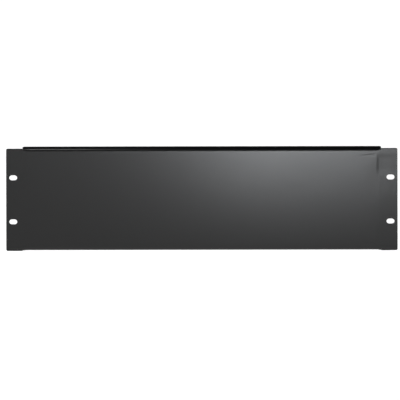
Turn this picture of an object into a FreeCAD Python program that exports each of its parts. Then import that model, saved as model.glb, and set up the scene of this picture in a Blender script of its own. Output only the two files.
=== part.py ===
import FreeCAD, Part
import os

# Rack blanking panel: one steel sheet, three rack units high, cut flat and then folded.
# The top and bottom edges are folded back into stiffening flanges, between two flat ears.
# X runs along the width, +Y points into the rack, +Z is up, and all sizes are millimetres.
# The origin is the middle of the slot pattern, on the back of the ears, which seats on the rails.

# The sheet
PANEL_WIDTH = 482.6
PANEL_HEIGHT = 132.55
SHEET_THICKNESS = 1.5

# The ears, which stay flat, and the slots that the rack's screws pass through
EAR_WIDTH = 20.3
EAR_CORNER_RADIUS = 2.0
SLOT_LENGTH = 10.0
SLOT_WIDTH = 7.0
SLOT_FROM_SIDE = 8.75
SLOT_FROM_EDGE = 37.7

# The folded flanges, with their depth taken from the front face of the wall
FLANGE_DEPTH = 10.0
FLANGE_CORNER_RADIUS = 3.0
BEND_INNER_RADIUS = 2.2

# The ends of each bend, which tighten where a short relief slit parts them from the ear
BEND_END_LENGTH = 5.5
BEND_END_INNER_RADIUS = 0.5
RELIEF_SLIT_WIDTH = 0.25
RELIEF_SLIT_OVERCUT = 0.5

# Places that follow from the sizes above
half_width = PANEL_WIDTH / 2
half_height = PANEL_HEIGHT / 2
inner_half_height = half_height - SHEET_THICKNESS
flange_end_x = half_width - EAR_WIDTH
full_bend_x = flange_end_x - BEND_END_LENGTH
slot_x = half_width - SLOT_FROM_SIDE
slot_z = half_height - SLOT_FROM_EDGE
back_y = 0.0
front_y = back_y - SHEET_THICKNESS
flange_edge_y = front_y + FLANGE_DEPTH
relief_slit_depth = BEND_END_INNER_RADIUS + SHEET_THICKNESS + RELIEF_SLIT_OVERCUT

# A quarter circle's middle point lies this share of the radius from its centre, both ways
QUARTER_MIDDLE = 0.5 ** 0.5
SAME_PLACE = 0.001
ORIGIN = FreeCAD.Vector(0, 0, 0)
X_AXIS = FreeCAD.Vector(1, 0, 0)
Y_AXIS = FreeCAD.Vector(0, 1, 0)


def bend(x, side, inner_radius, outer, from_wall):
    """One quarter circle of the section at x, on the outer or the inner side of the sheet.

    side is 1 for the top bend and -1 for the bottom one.
    The edge runs from the wall to the flange where from_wall is true, or else the other way.
    """
    centre_y = back_y + inner_radius
    centre_z = inner_half_height - inner_radius
    radius = inner_radius + SHEET_THICKNESS if outer else inner_radius

    def point(towards_wall, towards_flange):
        y = centre_y - radius * towards_wall
        z = centre_z + radius * towards_flange
        return FreeCAD.Vector(x, y, side * z)

    route = [point(1, 0), point(QUARTER_MIDDLE, QUARTER_MIDDLE), point(0, 1)]
    if not from_wall:
        route.reverse()
    return Part.Arc(*route).toShape()


def channel_section(x, inner_radius):
    """The outline of the folded sheet, cut across at x: a wall with a flange at each end."""
    bends = [
        bend(x, -1, inner_radius, outer=True, from_wall=False),
        bend(x, 1, inner_radius, outer=True, from_wall=True),
        bend(x, 1, inner_radius, outer=False, from_wall=False),
        bend(x, -1, inner_radius, outer=False, from_wall=True),
    ]
    starts = [arc.valueAt(arc.FirstParameter) for arc in bends]
    ends = [arc.valueAt(arc.LastParameter) for arc in bends]
    top_outer = FreeCAD.Vector(x, flange_edge_y, half_height)
    top_inner = FreeCAD.Vector(x, flange_edge_y, inner_half_height)
    bottom_inner = FreeCAD.Vector(x, flange_edge_y, -inner_half_height)
    bottom_outer = FreeCAD.Vector(x, flange_edge_y, -half_height)
    return Part.Wire([
        Part.makeLine(bottom_outer, starts[0]),
        bends[0],
        Part.makeLine(ends[0], starts[1]),
        bends[1],
        Part.makeLine(ends[1], top_outer),
        Part.makeLine(top_outer, top_inner),
        Part.makeLine(top_inner, starts[2]),
        bends[2],
        Part.makeLine(ends[2], starts[3]),
        bends[3],
        Part.makeLine(ends[3], bottom_inner),
        Part.makeLine(bottom_inner, bottom_outer),
    ])


def face_between(first, second):
    """The face between like edges of two sections, flat where the edges are straight."""
    if isinstance(first.Curve, Part.Line):
        corners = [first.Vertexes[0], first.Vertexes[1], second.Vertexes[1], second.Vertexes[0]]
        points = [corner.Point for corner in corners]
        return Part.Face(Part.makePolygon(points + points[:1]))
    return Part.makeRuledSurface(first, second)


def solid_between(start, end):
    """The solid that runs evenly from one section to another of like edges."""
    faces = [face_between(first, second) for first, second in zip(start.Edges, end.Edges)]
    faces += [Part.Face(start), Part.Face(end)]
    shell = Part.makeShell(faces)
    shell.sewShape()
    return Part.makeSolid(shell)


def ear_plate():
    """The right ear before it is pierced and its corners are rounded."""
    corner = FreeCAD.Vector(flange_end_x, front_y, -half_height)
    return Part.makeBox(EAR_WIDTH, SHEET_THICKNESS, PANEL_HEIGHT, corner)


def slot_cutter(side):
    """One slot of the right ear, as long as the sheet is thick, with round ends."""
    end_radius = SLOT_WIDTH / 2
    straight_length = SLOT_LENGTH - SLOT_WIDTH
    left_end = FreeCAD.Vector(slot_x - straight_length / 2, front_y, side * slot_z)
    right_end = left_end + X_AXIS * straight_length
    body_corner = left_end - FreeCAD.Vector(0, 0, end_radius)
    body = Part.makeBox(straight_length, SHEET_THICKNESS, SLOT_WIDTH, body_corner)
    return body.fuse([
        Part.makeCylinder(end_radius, SHEET_THICKNESS, left_end, Y_AXIS),
        Part.makeCylinder(end_radius, SHEET_THICKNESS, right_end, Y_AXIS),
    ])


def relief_slit_cutter(side):
    """One slit in the right ear's inner edge, from the sheet's edge to just past the bend."""
    low_z = half_height - relief_slit_depth if side > 0 else -half_height
    corner = FreeCAD.Vector(flange_end_x, front_y, low_z)
    return Part.makeBox(RELIEF_SLIT_WIDTH, SHEET_THICKNESS, relief_slit_depth, corner)


def right_side():
    """All that lies right of the even channel: the ends of both bends, and the pierced ear."""
    start = channel_section(full_bend_x, BEND_INNER_RADIUS)
    end = channel_section(flange_end_x, BEND_END_INNER_RADIUS)
    solid = solid_between(start, end).fuse(ear_plate())
    for side in (-1, 1):
        solid = solid.cut([slot_cutter(side), relief_slit_cutter(side)])
    return solid


def round_corners(solid, radius, x, y):
    """The solid with its corners at x and y rounded, on the left as on the right."""
    corners = [
        edge
        for edge in solid.Edges
        if abs(abs(edge.CenterOfMass.x) - x) < SAME_PLACE and abs(edge.CenterOfMass.y - y) < SAME_PLACE
    ]
    return solid.makeFillet(radius, corners)


def blanking_panel():
    """The whole folded sheet."""
    section = Part.Face(channel_section(-full_bend_x, BEND_INNER_RADIUS))
    channel = section.extrude(X_AXIS * 2 * full_bend_x)
    right = right_side()
    left = right.mirror(ORIGIN, X_AXIS)
    panel = channel.fuse([right, left]).removeSplitter()
    panel = round_corners(panel, EAR_CORNER_RADIUS, half_width, (front_y + back_y) / 2)
    return round_corners(panel, FLANGE_CORNER_RADIUS, flange_end_x, flange_edge_y)


os.makedirs("parts", exist_ok=True)
panel = blanking_panel()
panel.Solids[0].exportStep("parts/blanking_panel.step")
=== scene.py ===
import math

import bpy
import numpy as np
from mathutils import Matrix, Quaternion, Vector
from mathutils.geometry import delaunay_2d_cdt

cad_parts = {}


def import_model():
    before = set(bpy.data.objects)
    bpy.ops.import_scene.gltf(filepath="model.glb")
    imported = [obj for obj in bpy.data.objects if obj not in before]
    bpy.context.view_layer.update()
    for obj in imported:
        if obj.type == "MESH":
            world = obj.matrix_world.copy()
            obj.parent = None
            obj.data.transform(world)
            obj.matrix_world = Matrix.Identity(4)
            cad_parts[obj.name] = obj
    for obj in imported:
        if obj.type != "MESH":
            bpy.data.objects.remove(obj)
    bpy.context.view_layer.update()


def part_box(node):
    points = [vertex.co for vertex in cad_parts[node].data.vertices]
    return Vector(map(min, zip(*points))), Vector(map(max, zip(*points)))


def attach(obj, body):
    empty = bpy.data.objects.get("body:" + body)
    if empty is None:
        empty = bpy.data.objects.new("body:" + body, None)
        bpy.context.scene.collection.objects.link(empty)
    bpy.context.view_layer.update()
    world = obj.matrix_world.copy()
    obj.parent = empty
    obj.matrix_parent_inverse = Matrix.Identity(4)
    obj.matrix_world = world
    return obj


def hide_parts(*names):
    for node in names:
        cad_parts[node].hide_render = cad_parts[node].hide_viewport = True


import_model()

# The sheet of steel is built again here with its coating, from the flat pattern that it was cut to.
# The pattern's x runs along the width and its p up the face, round the bends and along the flanges.
# Lengths in the pattern are millimetres.
MM = 0.001
PANEL = "blanking_panel"
lowest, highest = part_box(PANEL)
HALF_WIDTH = highest.x / MM
HALF_HEIGHT = highest.z / MM
FRONT_Y = lowest.y / MM
FLANGE_EDGE_Y = highest.y / MM
SHEET_THICKNESS = 1.5
EAR_WIDTH = 20.3
EAR_CORNER_RADIUS = 2.0
FLANGE_END_X = HALF_WIDTH - EAR_WIDTH
FLANGE_CORNER_RADIUS = 3.0

# The slots, which the coating narrows all round
CUT_SLOT_LENGTH = 10.0
CUT_SLOT_WIDTH = 7.0
SLOT_COAT = 0.13
SLOT_FROM_SIDE = 8.75
SLOT_FROM_EDGE = 37.7
SLOT_LENGTH = CUT_SLOT_LENGTH - 2 * SLOT_COAT
SLOT_WIDTH = CUT_SLOT_WIDTH - 2 * SLOT_COAT
SLOT_X = HALF_WIDTH - SLOT_FROM_SIDE
SLOT_P = HALF_HEIGHT - SLOT_FROM_EDGE

# The bends' outer radius, which tightens towards the slits beside the ears and is at its least
# just before them. The coating all but fills the slits.
BEND_RADIUS = 3.7
BEND_END_RADIUS = 2.0
BEND_END_LENGTH = 3.8
BEND_END_FROM_SLIT = 0.8
SLIT_WIDTH = 0.02
SLIT_DEPTH = 2.5
SLIT_BOTTOM = HALF_HEIGHT - SLIT_DEPTH

# The coating rounds every cut edge, and the ears' corners at the slits
EDGE_RADIUS = 0.25
SLIT_CORNER_RADIUS = 0.3

# Just before the bends the wall eases back a little, from the first of these places to the second
EASE_DEPTH = 0.10
EASE_P = (58.5, 66.3)

# The ears lean back, and folding has dented the sheet beside them. Each pair of places is where one
# side of a dent starts and where it ends. The left has only a share of the lean and the dents, and
# the lower half only a share of the dents.
LEFT_SHARE = 0.3
LOWER_SHARE = 0.4
LEAN_SLOPE = 0.030
LEAN_START_X = 219
CREASE_DEPTH = 0.40
CREASE_X = (214.6, 219.4)
CREASE_LOW_P = (27, 42)
CREASE_HIGH_P = (52, 63)
RECOVERY_DEPTH = 0.15
RECOVERY_X = (222, 240)
HOLLOW_DEPTH = 0.26
HOLLOW_X = (202, 220)
HOLLOW_LOW_P = (4, 32)
HOLLOW_HIGH_P = (34, 58)
WRINKLE_DEPTH = 0.18
WRINKLE_WIDTH = 1.5
WRINKLE_SLOPE = 0.115
WRINKLE_MIDDLE_X = 203.5
WRINKLE_MIDDLE_P = 57.0
WRINKLE_LEFT_X = (192, 206)
WRINKLE_RIGHT_X = (212, 216)

# How finely the surface is divided: the steps along each curve, then the places of the mesh's
# columns and rows on the upper right quarter, which lie closer together near the bend's end
EDGE_STEPS = 3
BEND_STEPS = 12
ARC_STEPS = 8
SLIT_CORNER_STEPS = 4
SLOT_STEPS = 16
COLUMN_RUNS = ((4, 8, 23), (183, 1.5, 20), (212.4, 0.6, 14))
COLUMNS = [start + step * i for start, step, count in COLUMN_RUNS for i in range(count)]
WALL_ROWS = range(2, 48, 4)
CLOSE_ROWS_START = 48
CLOSE_ROWS = 24
FLANGE_ROWS = 3
FLANGE_END_YS = (2.2, 3.9)
EAR_COLUMNS = (222.0, 224.5, 227.0, 229.5, 232.0, 235.0, 238.5)
EAR_ROWS = range(2, 65, 3)

# How far the mesh's own points keep from the sheet's edges
SLOT_GAP = 1.2
EAR_GAP = 1.0
SLIT_GAP = 1.5
FLANGE_END_GAP = 0.6
FLANGE_EDGE_GAP = 0.8
FLANGE_CORNER_GAP = 0.3

# The surface's direction is measured over this distance
DIRECTION_STEP = 0.02

# Places closer than this are one
SAME_PLACE = 1e-6

# What is asked of the triangulation: only triangles that lie inside the outline
TRIANGLES_INSIDE = 1

QUARTER_TURN = math.pi / 2


def smooth(value, start, end):
    """0 before start, 1 after end, and an even S between them."""
    share = min(max((value - start) / (end - start), 0.0), 1.0)
    return share * share * (3 - 2 * share)


def bell(distance, width):
    """1 at no distance, falling to nothing over a few widths."""
    return math.exp(-(distance / width) ** 2)


def bend_radius(x):
    """The bend's outer radius, which tightens just before the slits."""
    narrow_x = FLANGE_END_X - BEND_END_FROM_SLIT
    share = smooth(abs(x), narrow_x - BEND_END_LENGTH, narrow_x)
    return BEND_RADIUS + (BEND_END_RADIUS - BEND_RADIUS) * share


def dent(x, p):
    """How far the sheet lies behind its ideal place, where folding it has pulled it a little."""
    across = abs(x)
    up = abs(p)
    ease = EASE_DEPTH * smooth(up, *EASE_P)
    crease = CREASE_DEPTH * smooth(across, *CREASE_X) - RECOVERY_DEPTH * smooth(across, *RECOVERY_X)
    crease *= smooth(up, *CREASE_LOW_P) * (1 - smooth(up, *CREASE_HIGH_P))
    hollow = HOLLOW_DEPTH * smooth(up, *HOLLOW_LOW_P) * (1 - smooth(up, *HOLLOW_HIGH_P))
    hollow *= smooth(across, *HOLLOW_X)
    lean = LEAN_SLOPE * max(across - LEAN_START_X, 0)
    wrinkle_p = WRINKLE_MIDDLE_P + WRINKLE_SLOPE * (across - WRINKLE_MIDDLE_X)
    wrinkle = WRINKLE_DEPTH * bell(up - wrinkle_p, WRINKLE_WIDTH)
    wrinkle *= smooth(across, *WRINKLE_LEFT_X)
    wrinkle *= 1 - smooth(across, *WRINKLE_RIGHT_X)
    folds = (crease + hollow + wrinkle) * (1.0 if p > 0 else LOWER_SHARE)
    return ease + (LEFT_SHARE if x < 0 else 1.0) * (lean + folds)


def fold(x, p, depth, folded):
    """Where a point of the pattern lies once the sheet is folded, at a depth behind its outer face."""
    depth += dent(x, p)
    if not folded:
        return Vector((x, FRONT_Y + depth, p))
    radius = bend_radius(x)
    start = HALF_HEIGHT - radius
    turn = (abs(p) - start) / radius
    inside = radius - depth
    if turn <= 0:
        y, z = FRONT_Y + depth, abs(p)
    elif turn < QUARTER_TURN:
        y, z = FRONT_Y + radius - inside * math.cos(turn), start + inside * math.sin(turn)
    else:
        y, z = FRONT_Y + radius + (turn - QUARTER_TURN) * radius, HALF_HEIGHT - depth
    return Vector((x, y, math.copysign(z, p)))


def is_folded(x):
    """True between the ears, where the sheet's upper and lower edges are folded back."""
    return abs(x) <= FLANGE_END_X + SAME_PLACE


def flange_p(x, y):
    """The place in the pattern of a point on a flange."""
    radius = bend_radius(x)
    return HALF_HEIGHT - radius + radius * QUARTER_TURN + (y - FRONT_Y - radius)


def bend_p(x, step):
    """The place in the pattern of one of the bend's steps, from the wall to the flange."""
    radius = bend_radius(x)
    return HALF_HEIGHT - radius + radius * QUARTER_TURN * step / BEND_STEPS


def arc(centre_x, centre_p, radius, start, end, steps):
    """Points along part of a circle, with its angles in degrees."""
    angles = [math.radians(start + (end - start) * i / steps) for i in range(steps + 1)]
    return [(centre_x + radius * math.cos(a), centre_p + radius * math.sin(a)) for a in angles]


def quarter_outline():
    """The pattern's outline from the right ear's side to the top flange's middle."""
    points = [(HALF_WIDTH, p) for p in EAR_ROWS]
    ear_corner = (HALF_WIDTH - EAR_CORNER_RADIUS, HALF_HEIGHT - EAR_CORNER_RADIUS)
    points += arc(*ear_corner, EAR_CORNER_RADIUS, 0, 90, ARC_STEPS)
    slit_right = FLANGE_END_X + SLIT_WIDTH
    slit_corner = (slit_right + SLIT_CORNER_RADIUS, HALF_HEIGHT - SLIT_CORNER_RADIUS)
    points += arc(*slit_corner, SLIT_CORNER_RADIUS, 90, 180, SLIT_CORNER_STEPS)
    points += [(slit_right, SLIT_BOTTOM), (FLANGE_END_X, SLIT_BOTTOM)]
    points += [(FLANGE_END_X, bend_p(FLANGE_END_X, step)) for step in range(BEND_STEPS + 1)]
    points += [(FLANGE_END_X, flange_p(FLANGE_END_X, y)) for y in FLANGE_END_YS]
    corner_x = FLANGE_END_X - FLANGE_CORNER_RADIUS
    corner_y = FLANGE_EDGE_Y - FLANGE_CORNER_RADIUS
    corner = arc(corner_x, corner_y, FLANGE_CORNER_RADIUS, 0, 90, ARC_STEPS)
    points += [(x, flange_p(x, y)) for x, y in corner]
    edge_xs = [x for x in reversed(COLUMNS) if x < corner_x - FLANGE_CORNER_GAP]
    points += [(x, flange_p(x, FLANGE_EDGE_Y)) for x in edge_xs]
    return points


def outline():
    """The whole outline, with the sheet on its left all the way round."""
    first = quarter_outline()
    second = [(-x, p) for x, p in reversed(first)]
    third = [(-x, -p) for x, p in first]
    fourth = [(x, -p) for x, p in reversed(first)]
    return first + second + third + fourth


def slot_outline(x_side, p_side):
    """One slot's outline, with the sheet on its left all the way round."""
    half_straight = (SLOT_LENGTH - SLOT_WIDTH) / 2
    centre_x = x_side * SLOT_X
    centre_p = p_side * SLOT_P
    right = arc(centre_x + half_straight, centre_p, SLOT_WIDTH / 2, 90, -90, SLOT_STEPS)
    left = arc(centre_x - half_straight, centre_p, SLOT_WIDTH / 2, 270, 90, SLOT_STEPS)
    return right + left


def inward_directions(loop):
    """For each point of a loop, the direction into the sheet.

    It is longer at corners, so that a loop drawn further in stays parallel.
    """
    found = []
    for i, (x, p) in enumerate(loop):
        before = Vector((x, p)) - Vector(loop[i - 1])
        after = Vector(loop[(i + 1) % len(loop)]) - Vector((x, p))
        normals = [Vector((-d.y, d.x)).normalized() for d in (before, after)]
        both = normals[0] + normals[1]
        found.append(both / (1 + normals[0].dot(normals[1])))
    return found


def edge_profile():
    """The steps round a cut edge, from the front face to the back.

    Each has how far it lies inside the outline, how deep, and how far it faces from the front.
    """
    front = []
    for i in range(EDGE_STEPS + 1):
        turn = QUARTER_TURN * i / EDGE_STEPS
        inset = EDGE_RADIUS * (1 - math.sin(turn))
        depth = EDGE_RADIUS * (1 - math.cos(turn))
        front.append((inset, depth, turn))
    back = [(inset, SHEET_THICKNESS - depth, math.pi - turn) for inset, depth, turn in reversed(front)]
    return front + back


def clear_of_edges(x, p):
    """True where a point inside the sheet is far enough from its edges to be one of the mesh's own."""
    across = abs(x)
    up = abs(p)
    past_straight = max(abs(across - SLOT_X) - (SLOT_LENGTH - SLOT_WIDTH) / 2, 0)
    if math.hypot(past_straight, up - SLOT_P) < SLOT_WIDTH / 2 + SLOT_GAP:
        return False
    if across > FLANGE_END_X - EAR_GAP:
        return up < SLIT_BOTTOM - SLIT_GAP or across < FLANGE_END_X - FLANGE_END_GAP
    return True


def inner_rows(x):
    """The p of the mesh's rows at one column, on the upper half."""
    bend_start = bend_p(x, 0)
    rows = list(WALL_ROWS)
    rows += [
        CLOSE_ROWS_START + (bend_start - CLOSE_ROWS_START) * i / CLOSE_ROWS
        for i in range(CLOSE_ROWS)
    ]
    rows += [bend_p(x, step) for step in range(BEND_STEPS + 1)]
    past_corner = max(x - (FLANGE_END_X - FLANGE_CORNER_RADIUS), 0)
    reach = math.sqrt(FLANGE_CORNER_RADIUS ** 2 - past_corner ** 2)
    edge_y = FLANGE_EDGE_Y - FLANGE_CORNER_RADIUS + reach - FLANGE_EDGE_GAP
    flat_y = FRONT_Y + bend_radius(x)
    for i in range(1, FLANGE_ROWS + 1):
        rows.append(flange_p(x, flat_y + (edge_y - flat_y) * i / FLANGE_ROWS))
    return rows


def on_the_sheet(places, loops):
    """For each place in the pattern, whether an odd number of the sheet's edges lies to its right."""
    inside = np.zeros(len(places), bool)
    x, p = places[:, 0], places[:, 1]
    for loop in loops:
        for (x1, p1), (x2, p2) in zip(loop, loop[1:] + loop[:1]):
            if p1 != p2:
                spans = (p1 > p) != (p2 > p)
                inside ^= spans & (x < x1 + (p - p1) * (x2 - x1) / (p2 - p1))
    return inside


class Sheet:
    """The coated sheet as one closed mesh, and the direction that each of its points faces.

    Its two faces are divided alike in the flat pattern. Every flat point has one point of the mesh
    on the front and one on the back.
    """

    def __init__(self):
        self.points = []
        self.normals = []
        self.faces = []
        self.flat_points = []
        self.flat_edges = []
        self.flat_loops = []
        self.front_ids = []
        self.back_ids = []
        for loop in [outline()] + [slot_outline(x, p) for x in (-1, 1) for p in (-1, 1)]:
            self.add_edge(loop)
        for p_side in (-1, 1):
            self.add_columns(p_side)
        self.add_ear_points()
        self.add_faces()

    def add(self, x, p, depth, folded, turn, outward=None):
        """Adds one point of the mesh. turn is how far it faces from the front, towards outward."""
        self.points.append(fold(x, p, depth, folded) * MM)
        step = DIRECTION_STEP
        inside_x = min(abs(x), FLANGE_END_X - step) * math.copysign(1, x) if folded else x
        along = fold(inside_x + step, p, depth, folded) - fold(inside_x - step, p, depth, folded)
        up = fold(x, p + step, depth, folded) - fold(x, p - step, depth, folded)
        front = along.cross(up).normalized()
        if outward is None:
            self.normals.append(front if turn == 0 else -front)
        else:
            side = (along.normalized() * outward.x + up.normalized() * outward.y).normalized()
            self.normals.append((front * math.cos(turn) + side * math.sin(turn)).normalized())
        return len(self.points) - 1

    def add_edge(self, loop):
        """Adds the rounded edge that follows one loop of the pattern."""
        inward = inward_directions(loop)
        rings = []
        for inset, depth, turn in edge_profile():
            ring = []
            for (x, p), direction in zip(loop, inward):
                place = Vector((x, p)) + direction * inset
                outward = -direction.normalized()
                ring.append(self.add(place.x, place.y, depth, is_folded(x), turn, outward))
            rings.append(ring)
        for near, far in zip(rings, rings[1:]):
            for i in range(len(loop)):
                j = (i + 1) % len(loop)
                self.faces.append((near[i], far[i], far[j], near[j]))
        first = len(self.flat_points)
        for i, ((x, p), direction) in enumerate(zip(loop, inward)):
            self.flat_points.append(Vector((x, p)) + direction * EDGE_RADIUS)
            self.flat_edges.append((first + i, first + (i + 1) % len(loop)))
        self.flat_loops.append([tuple(point) for point in self.flat_points[first:]])
        self.front_ids += rings[0]
        self.back_ids += rings[-1]

    def add_inner(self, x, p):
        """Adds a point away from the edges, on both faces."""
        self.flat_points.append(Vector((x, p)))
        self.front_ids.append(self.add(x, p, 0, is_folded(x), 0))
        self.back_ids.append(self.add(x, p, SHEET_THICKNESS, is_folded(x), math.pi))
        return len(self.flat_points) - 1

    def add_columns(self, p_side):
        """Adds the columns between the ears, on one half. Joins along the rows keep the bends' steps."""
        previous = None
        for x in [-x for x in reversed(COLUMNS)] + COLUMNS:
            rows = [p_side * p for p in inner_rows(abs(x))]
            column = [self.add_inner(x, p) if clear_of_edges(x, p) else None for p in rows]
            if previous:
                pairs = zip(previous, column)
                self.flat_edges.extend((a, b) for a, b in pairs if a is not None and b is not None)
            previous = column

    def add_ear_points(self):
        """Adds the points inside the ears."""
        for x in EAR_COLUMNS:
            for p in EAR_ROWS:
                if clear_of_edges(x, p):
                    for x_side in (-1, 1):
                        for p_side in (-1, 1):
                            self.add_inner(x_side * x, p_side * p)

    def add_faces(self):
        """Divides the flat pattern into triangles and keeps those that lie on the sheet."""
        made = delaunay_2d_cdt(
            self.flat_points, self.flat_edges, [], TRIANGLES_INSIDE, SAME_PLACE, True
        )
        made_triangles, flat_ids = made[2], made[3]
        triangles = [[flat_ids[i][0] for i in triangle] for triangle in made_triangles]
        corners = np.array([[self.flat_points[i][:] for i in triangle] for triangle in triangles])
        for triangle, kept in zip(triangles, on_the_sheet(corners.mean(axis=1), self.flat_loops)):
            if kept:
                self.faces.append([self.front_ids[i] for i in triangle])
                self.faces.append([self.back_ids[i] for i in reversed(triangle)])


def coated_sheet(name):
    """The sheet as an object of the scene."""
    sheet = Sheet()
    mesh = bpy.data.meshes.new(name)
    mesh.from_pydata(sheet.points, [], sheet.faces)
    mesh.polygons.foreach_set("use_smooth", [True] * len(mesh.polygons))
    mesh.normals_split_custom_set_from_vertices(sheet.normals)
    mesh.update()
    made = bpy.data.objects.new(name, mesh)
    bpy.context.scene.collection.objects.link(made)
    return made


class Nodes:
    """A material's or the world's node tree, with short calls that add and join nodes."""

    def __init__(self, owner):
        owner.use_nodes = True
        self.tree = owner.node_tree
        self.tree.nodes.clear()

    def add(self, kind, inputs=None, **settings):
        """Adds a node. Each input is a value, or the output of another node."""
        node = self.tree.nodes.new(kind)
        for name, value in settings.items():
            setattr(node, name, value)
        for name, value in (inputs or {}).items():
            if isinstance(value, bpy.types.NodeSocket):
                self.tree.links.new(value, node.inputs[name])
            else:
                node.inputs[name].default_value = value
        return node

    def math(self, operation, *values):
        """Adds a sum or the like, and gives its result."""
        return self.add("ShaderNodeMath", dict(enumerate(values)), operation=operation).outputs[0]

    def noise(self, place, scale, detail, roughness=0.5):
        """Adds a cloudy pattern, and gives its value."""
        inputs = {"Vector": place, "Scale": scale, "Detail": detail, "Roughness": roughness}
        return self.add("ShaderNodeTexNoise", inputs).outputs["Fac"]


# The powder coat. The scales are patches per metre, and the heights are metres.
COAT_DARK = (0.0018, 0.0018, 0.0019, 1)
COAT_PALE = (0.0026, 0.0026, 0.0027, 1)
COAT_ROUGHNESS = (0.363, 0.383)
COAT_IOR = 1.45
CLOUD_SCALE = 14.0
PEEL_SCALE = 800.0
PEEL_HEIGHT = 0.000036
GRAIN_SCALE = 4200.0
GRAIN_HEIGHT = 0.000005
SPECKLE = 0.03

# A Mix node has inputs of the same name for numbers, vectors and colours. These are for colours.
MIX_A = 6
MIX_B = 7
MIX_RESULT = 2


def powder_coat():
    """Satin black powder coat: a fine orange peel, faint speckle and uneven gloss."""
    material = bpy.data.materials.new("satin_black_powder_coat")
    nodes = Nodes(material)
    place = nodes.add("ShaderNodeTexCoord").outputs["Object"]
    clouds = nodes.noise(place, CLOUD_SCALE, detail=3.0)
    peel = nodes.noise(place, PEEL_SCALE, detail=2.0, roughness=0.45)
    grains = nodes.noise(place, GRAIN_SCALE, detail=1.0)
    tone = nodes.add("ShaderNodeMapRange", {"Value": clouds, "From Min": 0.3, "From Max": 0.7})
    colour = nodes.add(
        "ShaderNodeMix",
        {"Factor": tone.outputs[0], MIX_A: COAT_DARK, MIX_B: COAT_PALE},
        data_type="RGBA",
    )
    least, most = COAT_ROUGHNESS
    gloss = nodes.add(
        "ShaderNodeMapRange",
        {"Value": clouds, "From Min": 0.25, "From Max": 0.75, "To Min": least, "To Max": most},
    )
    speckle = nodes.math("MULTIPLY_ADD", grains, SPECKLE, -SPECKLE / 2)
    roughness = nodes.math("ADD", gloss.outputs[0], speckle)
    fine = nodes.add("ShaderNodeBump", {"Height": grains, "Strength": 1.0, "Distance": GRAIN_HEIGHT})
    bump = nodes.add(
        "ShaderNodeBump",
        {"Height": peel, "Strength": 1.0, "Distance": PEEL_HEIGHT, "Normal": fine.outputs[0]},
    )
    shader = nodes.add(
        "ShaderNodeBsdfPrincipled",
        {
            "Base Color": colour.outputs[MIX_RESULT],
            "Roughness": roughness,
            "Normal": bump.outputs[0],
            "IOR": COAT_IOR,
        },
    )
    nodes.add("ShaderNodeOutputMaterial", {"Surface": shader.outputs[0]})
    return material


panel = coated_sheet("coated_panel")
panel.data.materials.append(powder_coat())
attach(panel, "root")
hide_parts(PANEL)

# The stage: a pale floor some way below the panel, which hangs free as it does in the photograph.
# The glow brings the floor to white together with the light of the lamps.
WHITE = (1, 1, 1, 1)
FLOOR_DROP = 0.25
FLOOR_SIZE = 40.0
FLOOR_PAINT = (0.8, 0.8, 0.8, 1)
FLOOR_GLOW = 0.46

# The world's strength behind the panel and in front of it, and the height of its pale band
SKY_BACK = 0.01
SKY_FRONT = 0.03
HORIZON_HEIGHT = 0.004

# A softbox's power is this many times its brightness and its area
SOFTBOX_POWER = 4
FILL_SPREAD = math.radians(70)
FILL_LEVEL = 0.45


def floor():
    """A floor that shows white to the camera and in reflections, and still takes the panel's shadow.

    From below it can be seen through.
    """
    bpy.ops.mesh.primitive_plane_add(size=FLOOR_SIZE, location=(0, 0, lowest.z - FLOOR_DROP))
    plane = bpy.context.object
    plane.name = "floor"
    material = bpy.data.materials.new("pale_floor")
    nodes = Nodes(material)
    rays = nodes.add("ShaderNodeLightPath").outputs
    seen = nodes.math("MAXIMUM", rays["Is Camera Ray"], rays["Is Glossy Ray"])
    seen = nodes.math("MAXIMUM", seen, rays["Is Transmission Ray"])
    strength = nodes.math("MULTIPLY", seen, FLOOR_GLOW)
    glow = nodes.add("ShaderNodeEmission", {"Color": WHITE, "Strength": strength})
    paint = nodes.add("ShaderNodeBsdfDiffuse", {"Color": FLOOR_PAINT})
    both = nodes.add("ShaderNodeAddShader", {0: glow.outputs[0], 1: paint.outputs[0]})
    below = nodes.add("ShaderNodeNewGeometry").outputs["Backfacing"]
    clear = nodes.add("ShaderNodeBsdfTransparent")
    shown = nodes.add("ShaderNodeMixShader", {0: below, 1: both.outputs[0], 2: clear.outputs[0]})
    nodes.add("ShaderNodeOutputMaterial", {"Surface": shown.outputs[0]})
    plane.data.materials.append(material)


def world():
    """A dim studio, with a pale band at the horizon where the floor ends."""
    made = bpy.data.worlds.new("studio")
    bpy.context.scene.world = made
    nodes = Nodes(made)
    direction = nodes.add("ShaderNodeTexCoord").outputs["Generated"]
    parts = nodes.add("ShaderNodeSeparateXYZ", {0: direction}).outputs
    front = nodes.add(
        "ShaderNodeMapRange",
        {
            "Value": parts["Y"],
            "From Min": 0.3,
            "From Max": -0.8,
            "To Min": SKY_BACK,
            "To Max": SKY_FRONT,
        },
    )
    pale = nodes.math("LESS_THAN", parts["Z"], HORIZON_HEIGHT)
    strength = nodes.math("MAXIMUM", front.outputs[0], pale)
    sky = nodes.add("ShaderNodeBackground", {"Color": WHITE, "Strength": strength})
    nodes.add("ShaderNodeOutputWorld", {"Surface": sky.outputs[0]})


def aim(facing):
    """The turn that makes a lamp or the camera look along facing."""
    return (-Vector(facing)).to_track_quat("Z", "Y")


def softbox(name, place, facing, width, height, radiance, turn=0.0, colour=(1, 1, 1)):
    """An area light. radiance is how bright its face is, and turn is about the way it looks."""
    data = bpy.data.lights.new(name, "AREA")
    data.shape = "RECTANGLE"
    data.size = width
    data.size_y = height
    data.energy = SOFTBOX_POWER * radiance * width * height
    data.color = colour
    light = bpy.data.objects.new(name, data)
    light.location = place
    light.rotation_mode = "QUATERNION"
    light.rotation_quaternion = aim(facing) @ Quaternion((0, 0, 1), turn)
    light.visible_camera = False
    bpy.context.scene.collection.objects.link(light)


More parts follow.
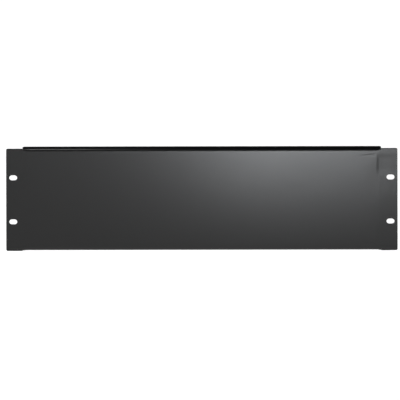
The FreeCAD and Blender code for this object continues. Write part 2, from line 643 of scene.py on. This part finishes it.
def fill(name, facing):
    """A very soft light that adds no reflections and brings colours up to about their own value."""
    data = bpy.data.lights.new(name, "SUN")
    data.angle = FILL_SPREAD
    data.energy = FILL_LEVEL * math.pi
    light = bpy.data.objects.new(name, data)
    light.rotation_mode = "QUATERNION"
    light.rotation_quaternion = aim(facing)
    light.visible_glossy = False
    bpy.context.scene.collection.objects.link(light)


floor()
world()
fill("front_fill", facing=(0.15, 0.64, -0.77))
fill("back_fill", facing=(-0.15, -0.64, -0.77))
softbox(
    "lit_card",
    place=(0.111, -0.496, -0.035),
    facing=(0, 0.116, 0.993),
    width=0.269,
    height=0.356,
    radiance=13.0,
    turn=0.373,
    colour=(0.97, 1, 1.03),
)
softbox(
    "upper_left",
    place=(-0.20, -0.07, 0.33),
    facing=(0, 0.25, -0.97),
    width=0.11,
    height=0.06,
    radiance=11.0,
)
softbox(
    "back_card",
    place=(-0.1, 0.62, -0.05),
    facing=(0, -0.12, 0.993),
    width=0.3,
    height=0.4,
    radiance=8.0,
    turn=0.4,
)
softbox(
    "back_left",
    place=(-1.1, 0.85, 0.75),
    facing=(1.1, -0.85, -0.75),
    width=0.7,
    height=0.7,
    radiance=1.6,
    colour=(0.94, 0.97, 1),
)

# The camera looks from in front and above, through a lens so long that nothing narrows with distance
VIEW_ELEVATION = math.radians(18.4)
VIEW_ROLL = math.radians(-0.11)
VIEW_WIDTH = 0.4932
VIEW_CENTRE = Vector((-0.0023, 0, -0.0009))
VIEW_DISTANCE = 2.0
towards_camera = Vector((0, -math.cos(VIEW_ELEVATION), math.sin(VIEW_ELEVATION)))
camera = bpy.data.objects.new("camera", bpy.data.cameras.new("camera"))
camera.data.type = "ORTHO"
camera.data.ortho_scale = VIEW_WIDTH
camera.location = VIEW_CENTRE + towards_camera * VIEW_DISTANCE
camera.rotation_mode = "QUATERNION"
camera.rotation_quaternion = aim(-towards_camera) @ Quaternion((0, 0, 1), VIEW_ROLL)
bpy.context.scene.collection.objects.link(camera)
bpy.context.scene.camera = camera
bpy.context.scene.view_settings.view_transform = "Standard"
